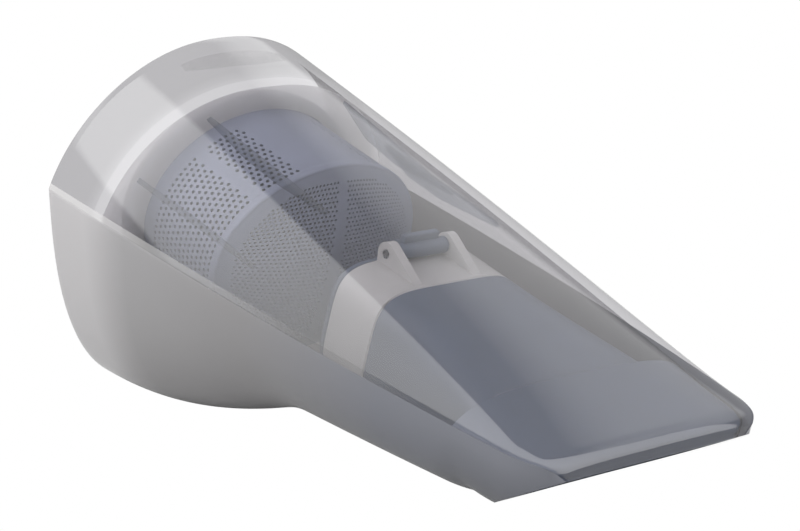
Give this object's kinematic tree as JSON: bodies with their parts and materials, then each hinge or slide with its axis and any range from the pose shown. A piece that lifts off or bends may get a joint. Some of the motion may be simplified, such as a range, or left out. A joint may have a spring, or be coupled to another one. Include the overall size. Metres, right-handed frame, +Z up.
{
  "type": "handheld vacuum dust bin",
  "caption": "Wedge-nosed clear dust bowl of a hand vacuum, with an inlet duct, a hinged flap valve and a perforated cup filter that pulls out of the rear.",
  "frame": {"origin": "centre of the object's footprint, on the surface it lies on", "axes": "+X towards the nozzle, +Y to the object's left, +Z up; the bowl lies on its belly and on the nozzle's jaw, nose down"},
  "size_m": [0.2174, 0.111, 0.1117],
  "materials": {
    "bowl_clear": "clear smoky polycarbonate above the side crease, frosted grey below it",
    "duct_navy": "satin moulded",
    "collar_pale": "milky translucent",
    "flap_navy": "satin moulded",
    "pin_steel": "drawn wire",
    "filter_blue": "moulded, finely perforated",
    "frame_grey": "moulded",
    "filter_cloth": "pleated non-woven cloth"
  },
  "bodies": {
    "bowl": {"dust_bowl": "bowl_clear", "inlet_duct": "duct_navy", "duct_collar": "collar_pale", "flap_pin": "pin_steel"},
    "flap": {"inlet_flap": "flap_navy"},
    "pre_filter": {"pre_filter": "filter_blue"},
    "filter": {"filter_frame": "frame_grey", "filter_cloth": "filter_cloth"}
  },
  "joints": [
    {"name": "flap_hinge", "type": "hinge", "parent": "bowl", "child": "flap", "pos_m": [0.01713, 0, 0.05756], "axis": [0, 1, 0], "range_deg": [0, 38]},
    {"name": "pre_filter_slide", "type": "slide", "parent": "bowl", "child": "pre_filter", "axis": [-0.9408, 0, 0.3388], "range_m": [0, 0.08]},
    {"name": "filter_slide", "type": "slide", "parent": "pre_filter", "child": "filter", "axis": [-0.9408, 0, 0.3388], "range_m": [0, 0.05]}
  ]
}
